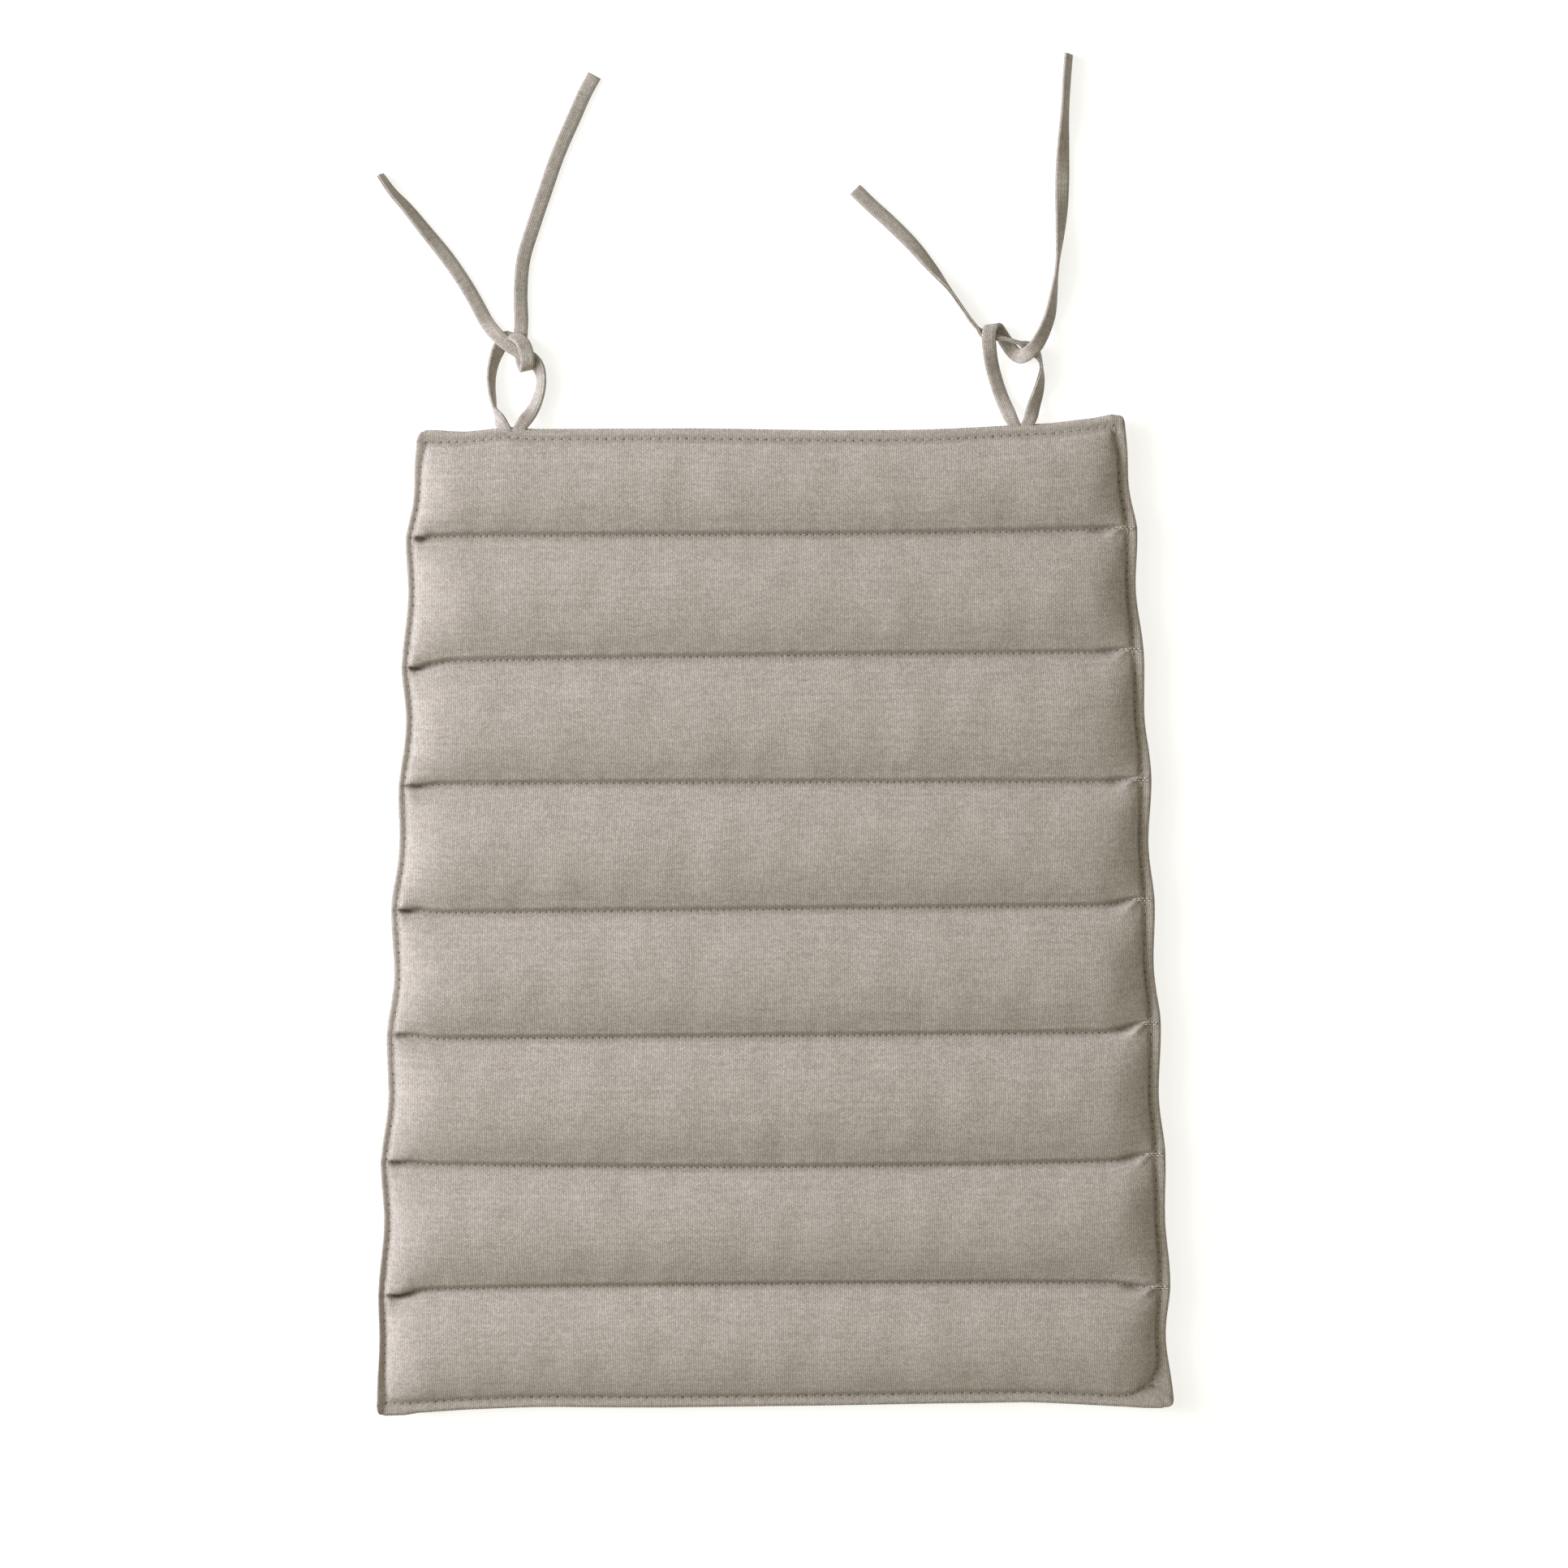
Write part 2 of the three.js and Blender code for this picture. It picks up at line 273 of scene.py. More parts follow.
def thread_material(name, colour):
    """Spun thread: fine diagonal twist."""
    n = Nodes(name)
    u, v = n.split(n.add("ShaderNodeTexCoord", "Object"))
    twist = n.math("SINE", n.math("MULTIPLY", n.math("ADD", u, v), math.tau / (0.35 * MM)))
    shade = n.remap(twist, -1, 1, 0.85, 1.1)
    n.link(n.mix(1.0, colour, n.grey(shade), "MULTIPLY"), n.shader.inputs["Base Color"])
    n.link(n.bump(twist, 0.05 * MM, 0.6), n.shader.inputs["Normal"])
    n.link(n.remap(twist, -1, 1, 0.8, 0.65), n.shader.inputs["Roughness"])
    return n.material


def wadding_material():
    """White polyester fibre."""
    n = Nodes("wadding_fibre")
    place = n.add("ShaderNodeTexCoord", "Object")
    tangle = n.add("ShaderNodeTexNoise", 0, None, Vector=place, Scale=900.0, Detail=4.0, Distortion=2.0)
    shade = n.remap(tangle, 0.3, 0.7, 0.78, 0.93)
    n.link(n.grey(shade), n.shader.inputs["Base Color"])
    n.link(n.bump(tangle, 0.8 * MM, 0.8), n.shader.inputs["Normal"])
    n.link(n.remap(tangle, 0.3, 0.7, 1.0, 0.85), n.shader.inputs["Roughness"])
    return n.material


def floor_material():
    """A light table: it glows a little, so that shadows on it stay pale."""
    n = Nodes("studio_floor")
    n.shader.inputs["Base Color"].default_value = (0.36, 0.36, 0.36, 1)
    n.shader.inputs["Emission Color"].default_value = (1, 0.995, 0.97, 1)
    n.shader.inputs["Emission Strength"].default_value = 0.77
    n.shader.inputs["Roughness"].default_value = 0.9
    return n.material


# ---- Meshes ----


def add_mesh(name, points, faces, material, layers=None, smooth=True):
    """A mesh object with its material and its UV layers, each one value per point."""
    mesh = bpy.data.meshes.new(name)
    mesh.from_pydata(np.asarray(points, float).tolist(), [], faces)
    mesh.materials.append(material)
    corners = np.empty(len(mesh.loops), np.int32)
    mesh.loops.foreach_get("vertex_index", corners)
    for layer, values in (layers or {}).items():
        uv = mesh.uv_layers.new(name=layer)
        uv.data.foreach_set("uv", np.asarray(values, np.float32)[corners].ravel())
    if smooth:
        mesh.shade_smooth()
    mesh.validate()
    obj = bpy.data.objects.new(name, mesh)
    bpy.context.collection.objects.link(obj)
    return obj


# ---- Ties ----

# Each tail's route, as in the CAD: millimetres, then how far the tape is rolled on its edge.
TIE_ROUTES = {
    "tie_left_inner_tail": [
        (-142.4, 263, 8.6, -20), (-145.6, 269, 5.8, -78), (-147, 275, 3.6, -102),
        (-147.9, 281.5, 2.2, -112), (-148, 288.5, 2.1, -122), (-146.6, 296, 2.1, -132),
        (-144, 303, 2.1, -155), (-141, 308, 2.4, -180), (-137.8, 309.2, 4.6, -238),
        (-133.8, 308.2, 8.6, -225), (-130.6, 305, 11, -200), (-129, 300.4, 11, -184),
        (-128.5, 296, 10.8, -180), (-128.7, 292.7, 8.2, -180), (-129.5, 291.9, 5, -180),
        (-130.6, 294, 2.4, -180), (-131.8, 299, 2.1, -180), (-132.6, 305, 2.1, -180),
        (-132.4, 311, 2.1, -180), (-132, 318, 2.1, -172), (-132.2, 332, 2.1, -165),
        (-130.6, 350, 2.1, -165), (-125, 368.5, 2.1, -170), (-118.6, 387, 2.1, -170),
        (-111.8, 406, 2.1, -170), (-103.6, 424.4, 2.1, -170), (-97.2, 438.6, 2.1, -175),
        (-92.4, 447.2, 2.1, -180),
    ],
    "tie_left_outer_tail": [
        (-131, 263, 8.6, 0), (-126.8, 269, 5.8, -28), (-123.6, 275.5, 3.2, -42), (-121.8, 282, 2.8, -50),
        (-121.6, 288, 4.4, -50), (-123.4, 293.6, 6.2, -30), (-127.2, 297.6, 6.6, 0), (-133, 301.2, 6.6, 0),
        (-140.2, 305.8, 6.7, 0), (-145.8, 311, 5.4, 0), (-150.4, 317.2, 3, 6), (-154, 324, 2.1, 10),
        (-160.4, 335.6, 2.1, 15), (-170.7, 351, 2.1, 15), (-181.8, 365, 2.1, 30), (-191.8, 377.5, 2.1, 45),
        (-199.5, 386, 2.1, 60), (-206, 395.2, 2.1, 70),
    ],
    "tie_right_outer_tail": [
        (127, 263, 8.6, 0), (124, 270.5, 5.4, 10), (121, 278.5, 2.8, 15), (118.4, 287, 3, 15),
        (116.6, 294.5, 6, 10), (115.5, 301.5, 9.8, 0), (115.2, 306.8, 11, 0), (115.9, 310.9, 10.2, 0),
        (117.6, 312.9, 7.2, 0), (119.9, 311.7, 3.6, 0), (122.2, 308.4, 2.1, 0), (124.8, 304.4, 2.1, 0),
        (128, 299.8, 2.4, 0), (131.4, 296.8, 5.6, 0), (135.6, 297.9, 10, 0), (139.6, 301.5, 10.8, 10),
        (143, 306.8, 8.6, 25), (145.9, 313, 5, 35), (148.2, 320, 2.4, 45), (149.9, 330, 2.1, 65),
        (151.8, 344.4, 2.1, 85), (153.9, 367.7, 2.1, 45), (154.8, 388, 2.1, 10), (155.3, 405, 2.1, 30),
        (156.5, 426.6, 2.1, 60), (157.5, 442.5, 2.1, 60), (158.7, 456.6, 2.1, 60),
    ],
    "tie_right_inner_tail": [
        (136.6, 263, 8.6, 0), (139, 270.5, 5.6, 25), (141.5, 278.6, 3.2, 45), (142.9, 286, 3.2, 68),
        (143, 291.6, 4.8, 88), (141.8, 296.2, 5.8, 70), (139.4, 299.4, 6.4, 40), (136, 301.7, 6.6, 35),
        (132, 303.5, 6.6, 75), (128, 304.9, 6.6, 82), (124, 306.1, 6.6, 82), (118.8, 307.2, 6.6, 60),
        (113.8, 308.7, 6.5, 40), (110.2, 311.2, 5.4, 80), (106.4, 315.4, 3.6, 88), (101.6, 322.4, 2.1, 85),
        (94.2, 333, 2.1, 80), (85.1, 344.6, 2.1, 45), (75.3, 356.6, 2.1, 20), (63.6, 368.5, 2.1, 10),
        (53.3, 378, 2.1, 10), (45.2, 386, 2.1, 10),
    ],
}
TAPE_STEP = 1.2 * MM
TAPE_FINER = 1.1  # the tape's weave against the covers' own
ROUTE_LOW_Z = 2.1 * MM  # centre of the CAD tube where it lies on the floor
KNOT_SQUEEZE = 0.88  # flat tape stacks a little lower than the CAD's round tube
ROOT_Y = 257.5 * MM  # the tape is caught this deep in the rear seam


def spline(points, step):
    """Evenly spaced points on the centripetal Catmull-Rom curve through points, any number of values each."""
    ends = [2 * points[0] - points[1]], [2 * points[-1] - points[-2]]
    padded = np.concatenate([ends[0], points, ends[1]])
    dense = []
    for p0, p1, p2, p3 in zip(padded, padded[1:], padded[2:], padded[3:]):
        knots = np.cumsum([0] + [math.sqrt(max(np.linalg.norm(b[:3] - a[:3]), 1e-9))
                                 for a, b in ((p0, p1), (p1, p2), (p2, p3))])
        t = np.linspace(knots[1], knots[2], 24, endpoint=False)[:, None]
        t0, t1, t2, t3 = knots
        a1 = (t1 - t) / (t1 - t0) * p0 + (t - t0) / (t1 - t0) * p1
        a2 = (t2 - t) / (t2 - t1) * p1 + (t - t1) / (t2 - t1) * p2
        a3 = (t3 - t) / (t3 - t2) * p2 + (t - t2) / (t3 - t2) * p3
        b1 = (t2 - t) / (t2 - t0) * a1 + (t - t0) / (t2 - t0) * a2
        b2 = (t3 - t) / (t3 - t1) * a2 + (t - t1) / (t3 - t1) * a3
        dense.append((t2 - t) / (t2 - t1) * b1 + (t - t1) / (t2 - t1) * b2)
    dense = np.concatenate(dense + [points[-1:]])
    run = np.concatenate([[0], np.cumsum(np.linalg.norm(np.diff(dense[:, :3], axis=0), axis=1))])
    even = np.linspace(0, run[-1], max(2, round(run[-1] / step) + 1))
    return np.stack([np.interp(even, run, dense[:, k]) for k in range(dense.shape[1])], 1), even


def unit(vectors):
    return vectors / np.maximum(np.linalg.norm(vectors, axis=-1, keepdims=True), 1e-12)


def tape_frames(line, roll):
    """The tape's width direction at each point of its line: level, then rolled about the line."""
    tangent = unit(np.gradient(line, axis=0))
    up = np.array([0.0, 0.0, 1.0])
    width = np.empty_like(line)
    width[0] = unit(np.cross(up, tangent[0]))
    for i in range(1, len(line)):
        width[i] = unit(width[i - 1] - tangent[i] * (width[i - 1] @ tangent[i]))
    normal = np.cross(tangent, width)
    level = np.cross(up, tangent)
    turn = np.arctan2((level * normal).sum(1), (level * width).sum(1))
    lying = np.flatnonzero(np.linalg.norm(level, axis=1) > 0.93)
    turn = np.interp(np.arange(len(line)), lying, np.unwrap(turn[lying], period=math.pi)) + roll
    width = width * np.cos(turn)[:, None] + normal * np.sin(turn)[:, None]
    return width, np.cross(tangent, width)


def tape_section():
    """The folded tape's outline, (across, through) in metres: round folds on one edge, a slit on the other."""
    half, thick = TAPE_WIDTH / 2, TAPE_THICKNESS / 2
    arc = [(-half + thick * (1 - math.cos(a)), -thick * math.sin(a))
           for a in np.linspace(-math.pi / 2, math.pi / 2, 7)]
    low = [(x, -thick) for x in np.linspace(-half + 1.9 * thick, half - 1.6 * thick, 5)]
    lip = 0.9 * thick
    open_edge = [(half - 0.5 * thick, -lip), (half, -0.55 * thick), (half - 0.15 * thick, -0.14 * thick),
                 (half - 1.2 * thick, 0.0),
                 (half - 0.15 * thick, 0.14 * thick), (half, 0.55 * thick), (half - 0.5 * thick, lip)]
    high = [(x, thick) for x in np.linspace(half - 1.6 * thick, -half + 1.9 * thick, 5)]
    return np.array(arc + low + open_edge + high)


def make_tail(name, route, body, material):
    points = np.array(route, float)
    points[:, :3] *= MM
    root = points[0].copy()
    root[:3] = (root[0] * 0.35 + 0.65 * TIE_ROOT_X[body], ROOT_Y, SEAM_Z)
    points = np.concatenate([[root], points])
    sampled, run = spline(points, TAPE_STEP)
    roll = np.radians(sampled[:, 3])
    lying = smoothstep((run - 6 * MM) / (12 * MM))
    need = np.abs(np.sin(roll)) * TAPE_WIDTH / 2 + np.abs(np.cos(roll)) * TAPE_THICKNESS / 2
    stacked = TAPE_THICKNESS / 2 + (sampled[:, 2] - ROUTE_LOW_Z) * KNOT_SQUEEZE
    line = sampled[:, :3].copy()
    line[:, 2] = line[:, 2] * (1 - lying) + np.maximum(stacked, need) * lying
    width, through = tape_frames(line, roll)
    section = tape_section()
    pinch = np.interp(run, [0, 10 * MM], [0.75, 1.0])[:, None, None]
    ring = (width[:, None] * section[None, :, :1] * pinch + through[:, None] * section[None, :, 1:])
    vertices = (line[:, None] + ring).reshape(-1, 3)
    count, sides = len(line), len(section)
    faces = [[r * sides + c, r * sides + (c + 1) % sides, (r + 1) * sides + (c + 1) % sides,
              (r + 1) * sides + c] for r in range(count - 1) for c in range(sides)]
    faces.append(list(range(sides))[::-1])
    faces.append([(count - 1) * sides + c for c in range(sides)])
    girth = np.concatenate([[0], np.cumsum(np.linalg.norm(np.diff(section, axis=0), axis=1))]) / MM
    weave = np.stack([np.broadcast_to(girth, (count, sides)),
                      np.broadcast_to((run / MM)[:, None], (count, sides))], -1).reshape(-1, 2) * TAPE_FINER
    tail = add_mesh(name, vertices, faces, material, {WEAVE: weave})
    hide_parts(name.removesuffix("_tape"))
    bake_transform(tail)
    return line, width, through, run


TIE_ROOT_X = {"tie_left": -136.7 * MM, "tie_right": 131.7 * MM}


def make_ties(material):
    return {name: make_tail(f"{name}_tape", route, "_".join(name.split("_")[:2]), material)
            for name, route in TIE_ROUTES.items()}


# ---- The quilted covers ----


def half_width(y, channel, share):
    straight = FRONT_HALF + (REAR_HALF - FRONT_HALF) * (y - FRONT_Y) / (REAR_Y - FRONT_Y)
    at_seams = (SEAM_FLARE[channel] * (1 - share) + SEAM_FLARE[channel + 1] * share) * MM
    at_middle = CHANNEL_FLARE[channel] * MM
    return straight + at_middle + (at_seams - at_middle) * smoothstep(abs(1 - 2 * share))


class Grid:
    """Rows of points from the rear edge to the front one, and columns from left to right, the same for
    both covers. A row or column of the border has its distance from the edge; the others are sewn cloth."""

    def __init__(self, cell):
        marks = [REAR_Y - BORDER] + SEAMS + [FRONT_Y + BORDER]
        self.rows = [(REAR_Y - inset, 0, 0.0) for inset in BORDER_INSETS]
        self.sewn = []
        for channel, (rear, front) in enumerate(zip(marks, marks[1:])):
            count = round((rear - front) / cell)
            self.sewn.append(len(self.rows))
            self.rows += [(rear + (front - rear) * i / count, channel, i / count) for i in range(count)]
        self.sewn.append(len(self.rows))
        self.rows.append((FRONT_Y + BORDER, CHANNELS - 1, 1.0))
        self.rows += [(FRONT_Y + inset, CHANNELS - 1, 1.0) for inset in reversed(BORDER_INSETS)]
        self.edge = len(BORDER_INSETS)
        count = 2 * round((FRONT_HALF + REAR_HALF) / 2 / cell)
        self.across = np.linspace(-1, 1, count + 1)
        self.shape = (len(self.rows), len(self.across) + 2 * self.edge)

    def flat(self):
        """x and y of every point, and its distance inside the topstitch (negative in the border)."""
        x, y, inside = (np.zeros(self.shape) for _ in range(3))
        insets = np.array(BORDER_INSETS)
        for r, (row_y, channel, share) in enumerate(self.rows):
            half = half_width(row_y, channel, share)
            left = insets - half
            x[r] = np.concatenate([left, self.across * (half - BORDER), -left[::-1]])
            y[r] = row_y
            inside[r] = half - BORDER - np.abs(x[r])
        return x, y, inside


SIM_SCALE = 20  # Cloth's forces suit a pad of some metres, so it is simulated large
SIM_FRAMES = 16
CLOTH_SLACK = 0.085  # spare cloth along each channel's crown
END_SLACK = 4.5 * MM  # spare cloth at each end of a channel, over END_REACH
END_REACH = 24 * MM
START_CROWN = 9.0 * MM


def border_height(inset):
    """The rounded border's half thickness at a distance from its fold."""
    round_part = np.clip(inset / BORDER_HALF, 0, 1)
    squeeze = smoothstep((inset - 2.4 * MM) / (BORDER - 2.4 * MM))
    return BORDER_HALF * np.sqrt(1 - (1 - round_part) ** 2) * (1 - squeeze) + SEAM_HALF * squeeze


def start_heights(grid, x, y, inside):
    """Half thickness of the pad before it is inflated."""
    inset = np.minimum(inside + BORDER, np.minimum(REAR_Y - y, y - FRONT_Y))
    share = np.array([row[2] for row in grid.rows])[:, None]
    crown = np.sin(math.pi * share) ** 0.8 * (1 - np.exp(-np.maximum(inside, 0) / (8 * MM)))
    return np.where(inset < BORDER - 1e-6, border_height(inset), SEAM_HALF + START_CROWN * crown)


def pattern_of(grid, x, y, inside):
    """The covers as they are cut, laid out flat, with the spare cloth that the crowns take up."""
    rows = [row[0] for row in grid.rows]
    out_y = [rows[0]]
    for i in range(1, len(rows)):
        in_border = i <= grid.edge or i >= len(rows) - grid.edge
        out_y.append(out_y[-1] + (rows[i] - rows[i - 1]) * (1 if in_border else 1 + CLOTH_SLACK))
    step = np.diff(x, axis=1)
    middle = (inside[:, 1:] + inside[:, :-1]) / 2
    grown = np.where(middle < 0, 1.0, np.where(middle < END_REACH, 1 + END_SLACK / END_REACH, 1.003))
    out_x = np.concatenate([np.zeros((len(rows), 1)), np.cumsum(step * grown, axis=1)], axis=1)
    out_x -= out_x[:, -1:] / 2
    return out_x, np.broadcast_to(np.array(out_y)[:, None], x.shape)


def held_points(grid):
    held = np.zeros(grid.shape, bool)
    held[grid.sewn] = True
    held[:grid.edge + 1] = held[-grid.edge - 1:] = True
    held[:, :grid.edge + 1] = held[:, -grid.edge - 1:] = True
    return held


def inflate(grid, top, bottom, pattern):
    """Cloth simulation of both covers, joined round the edge and held where they are sewn."""
    rows, columns = grid.shape
    upper = np.arange(rows * columns).reshape(rows, columns)
    shared = np.zeros(grid.shape, bool)
    shared[0] = shared[-1] = shared[:, 0] = shared[:, -1] = True
    lower = upper.copy()
    lower[~shared] = rows * columns + np.arange((~shared).sum())
    points = np.concatenate([top.reshape(-1, 3), bottom[~shared]])
    flat = np.concatenate([pattern.reshape(-1, 3), pattern[~shared]])
    faces = []
    for index, flip in ((upper, False), (lower, True)):
        quads = np.stack([index[:-1, :-1], index[1:, :-1], index[1:, 1:], index[:-1, 1:]], -1).reshape(-1, 4)
        faces += (quads[:, ::-1] if flip else quads).tolist()
    mesh = bpy.data.meshes.new("inflating")
    mesh.from_pydata((points * SIM_SCALE).tolist(), [], faces)
    pad = bpy.data.objects.new("inflating", mesh)
    bpy.context.collection.objects.link(pad)
    pad.shape_key_add(name="Basis")
    cut = pad.shape_key_add(name="pattern")
    cut.data.foreach_set("co", (flat * SIM_SCALE).astype(np.float32).ravel())
    held = held_points(grid)
    group = pad.vertex_groups.new(name="sewn")
    group.add(np.unique([upper[held], lower[held]]).tolist(), 1.0, "REPLACE")

    cloth = pad.modifiers.new("Cloth", "CLOTH")
    cloth.collision_settings.use_collision = False
    cloth.point_cache.frame_start = 1
    cloth.point_cache.frame_end = SIM_FRAMES + 1
    settings = cloth.settings
    settings.quality = 6
    settings.mass = 0.3
    settings.tension_stiffness = settings.compression_stiffness = 40
    settings.shear_stiffness = 14
    settings.bending_stiffness = 1.5
    settings.use_pressure = True
    settings.uniform_pressure_force = 22
    settings.effector_weights.gravity = 0
    settings.vertex_group_mass = group.name
    settings.rest_shape_key = cut
    for number in range(1, SIM_FRAMES + 1):
        bpy.context.scene.frame_set(number)
    puffed = pad.evaluated_get(bpy.context.evaluated_depsgraph_get()).to_mesh()
    found = np.empty(len(puffed.vertices) * 3, np.float32)
    puffed.vertices.foreach_get("co", found)
    bpy.data.objects.remove(pad)
    bpy.context.scene.frame_set(1)
    found = found.reshape(-1, 3).astype(float) / SIM_SCALE
    return found[upper], found[lower]


def crease_lines(count):
    """Fractional indices along one channel of count cells: fine at its sewn ends, even between."""
    fine = [0, 0.16, 0.27, 0.40, 0.56, 0.76, 1.0]
    middle = [0.5 * i for i in range(3, 2 * count - 2)]
    return np.array(fine + middle + [count - value for value in reversed(fine)])


def sample(values, index, axis):
    """values at fractional indices along an axis, on a Catmull-Rom curve."""
    values = np.moveaxis(values, axis, 0)
    padded = np.concatenate([2 * values[:1] - values[1:2], values, 2 * values[-1:] - values[-2:-1]])
    base = np.clip(np.floor(index).astype(int), 0, len(values) - 2)
    t = (index - base).reshape((-1,) + (1,) * (values.ndim - 1))
    p0, p1, p2, p3 = (padded[base + k] for k in range(4))
    curve = 0.5 * (2 * p1 + (p2 - p0) * t + (2 * p0 - 5 * p1 + 4 * p2 - p3) * t ** 2
                   + (3 * p1 - p0 - 3 * p2 + p3) * t ** 3)
    return np.moveaxis(curve, 0, axis)


def refine_axis(fields, breaks, lines_of, axis):
    """Resamples every field between the breaks of one axis, so that a crease at a break stays sharp."""
    out, marks, total = [], [0], 0
    for number, (low, high) in enumerate(zip(breaks, breaks[1:])):
        index = lines_of(number, high - low)
        if number < len(breaks) - 2:
            index = index[:-1]
        part = np.take(fields, range(low, high + 1), axis)
        out.append(sample(part, index, axis))
        total += len(index)
        marks.append(total)
    marks[-1] -= 1
    return np.concatenate(out, axis), marks


def ripple(x, y, seed, wavelength, count=9):
    """A smooth random surface between about -1 and 1, the same one each time."""
    random = np.random.RandomState(seed)
    total = 0
    for _ in range(count):
        angle, phase = random.uniform(0, math.tau, 2)
        length = wavelength * random.uniform(0.7, 1.6)
        total = total + np.sin(math.tau * (x * math.cos(angle) + y * math.sin(angle)) / length + phase)
    return total / math.sqrt(count)


class Cover:
    """The finished surfaces of both covers, with the fields that their pieces are cut from."""


def make_cover():
    grid = Grid(SIM_CELL)
    x, y, inside = grid.flat()
    half = start_heights(grid, x, y, inside)
    wobble = ripple(x, y, 3, 30 * MM) * 0.25 * MM * ~held_points(grid)
    top = np.stack([x, y, SEAM_Z + half + wobble], -1)
    bottom = np.stack([x, y, SEAM_Z - half + wobble], -1)
    pattern_x, pattern_y = pattern_of(grid, x, y, inside)
    pattern = np.stack([pattern_x, pattern_y, np.full_like(x, SEAM_Z)], -1)
    top, bottom = inflate(grid, top, bottom, pattern)

    share = np.broadcast_to(np.array([row[2] for row in grid.rows])[:, None], x.shape)
    flat = np.stack([x, y, inside, share, pattern_x, pattern_y], -1)
    fields = np.concatenate([top, bottom, flat], -1)
    rows, columns = grid.shape

    def row_lines(number, count):
        border = number in (0, CHANNELS + 1)
        return np.arange(0, count + 0.25, 0.5) if border else crease_lines(count)

    def column_lines(number, count):
        return crease_lines(count) if number == 1 else np.arange(0, count + 0.25, 0.5)

    fields, row_marks = refine_axis(fields, [0] + grid.sewn + [rows - 1], row_lines, 0)
    breaks = [0, grid.edge, columns - 1 - grid.edge, columns - 1]
    fields, column_marks = refine_axis(fields, breaks, column_lines, 1)

    cover = Cover()
    cover.surface = {TOP: fields[..., :3], BOTTOM: fields[..., 3:6]}
    cover.x, cover.y, cover.inside, cover.share, pattern_x, pattern_y = np.moveaxis(fields[..., 6:], -1, 0)
    cover.pattern = np.stack([pattern_x, pattern_y], -1) / MM
    cover.sewn = row_marks[1:-1]
    cover.sides = column_marks[1], column_marks[2]
    for side in (TOP, BOTTOM):
        finish_surface(cover, side)
    cover.stitched = stitch_field(cover)
    return cover


LEAN = 1.3 * MM  # each crown leans this far towards the front
SEWN_FLAT = 1.6 * MM  # the cloth stays flat this far from a line of stitches
LIP_REAR, LIP_FRONT = 1.2 * MM, 0.8 * MM  # how far the cloth swells over a seam, on its rear and front sides
LIP_REACH = 9 * MM
FLOOR_SOFTNESS = 1.1 * MM
LEAST_THICKNESS = 1.9 * MM  # of both covers together, where a pit presses them down
END_BEND = {-1: [-0.9, -2.8, -0.6, 2.0, 2.2, 1.0, -2.4], 1: [0.2, 1.3, 1.6, 3.0, 4.6, 3.2, -2.2]}  # mm


def seam_distances(y):
    """How far each point is behind (positive) or in front of its nearest quilting seam."""
    offsets = np.array([y - seam for seam in SEAMS])
    nearest = np.abs(offsets).argmin(axis=0)
    return np.take_along_axis(offsets, nearest[None], axis=0)[0], nearest


def bell(distance, width):
    return np.exp(-(distance / width) ** 2)


END_DEPTH = {-1: [0.9, 1.35, 0.75, 1.2, 0.45, 0.75, 1.3], 1: [0.7, 0.6, 0.8, 0.9, 1.1, 0.8, 1.2]}
PIT_PLACE = [6.0, 4.5, 7.5, 5.5, 6.0, 6.5, 8.5]  # millimetres from the topstitch to the middle of each left pit
PIT_REACH = [3.2, 4.4, 6.0, 5.2, 4.6, 5.4, 5.6]  # and how far it reaches


def end_strengths(cover):
    """How strongly the cloth puckers at each seam's left and right end, 1 in the left ends' pits, and how
    far those are inside the topstitch."""
    behind, nearest = seam_distances(cover.y)
    strength = np.where(cover.x < 0, np.array(END_DEPTH[-1])[nearest], np.array(END_DEPTH[1])[nearest])
    place = np.array(PIT_PLACE)[nearest] * MM
    in_pit = bell(cover.inside - place, np.array(PIT_REACH)[nearest] * MM) * (cover.x < 0)
    return behind, strength, in_pit, place


def end_puckers(cover):
    """Height changes round the seams' ends, where the seam's stitches let go just inside the border: on
    the left the cloth lies over the seam's end as a saddle and folds into a pit, and on the right it is
    drawn into a slanting ridge and a dent."""
    behind, strength, in_pit, place = end_strengths(cover)
    inside = cover.inside
    saddle = 2.3 * MM * bell(behind, 5.0 * MM) * bell(inside - 0.3 * place, 0.4 * place + 0.9 * MM)
    pit = -3.9 * MM * bell(behind + 0.2 * MM, 1.9 * MM) * in_pit
    hood = 1.3 * MM * bell(behind - 4.2 * MM, 2.6 * MM) * in_pit
    slant = behind + 0.5 * MM + 0.55 * (inside - 4 * MM)
    ridge = 2.3 * MM * bell(slant, 1.4 * MM) * bell(inside - 6.5 * MM, 5 * MM)
    dent = -2.2 * MM * bell(behind + 1.0 * MM, 1.8 * MM) * bell(inside - 14 * MM, 4.5 * MM)
    return np.where(inside > 0, np.where(cover.x < 0, saddle + pit + hood, ridge + dent), 0) * strength


def end_bends(cover):
    """How far the seams' ends turn towards the rear."""
    behind, nearest = seam_distances(cover.y)
    near_end = smoothstep((26 * MM - np.maximum(cover.inside, 0)) / (22 * MM))
    bend = np.where(cover.x < 0, np.array(END_BEND[-1])[nearest], np.array(END_BEND[1])[nearest]) * MM
    return bend * near_end * bell(behind, 15 * MM)


def overhang(cover):
    """How far the cloth behind each seam hangs over it, most of all over the pits at the left ends."""
    behind, strength, in_pit, _ = end_strengths(cover)
    over_pit = 1.1 * MM * strength * in_pit
    return (0.5 * MM + over_pit) * bell(behind - 2.6 * MM, 1.8 * MM) * (cover.inside > 0)


SIDE_SWELL = {-1: 1.6 * MM, 1: 1.9 * MM}  # the channels' ends swell out over the border's topstitch


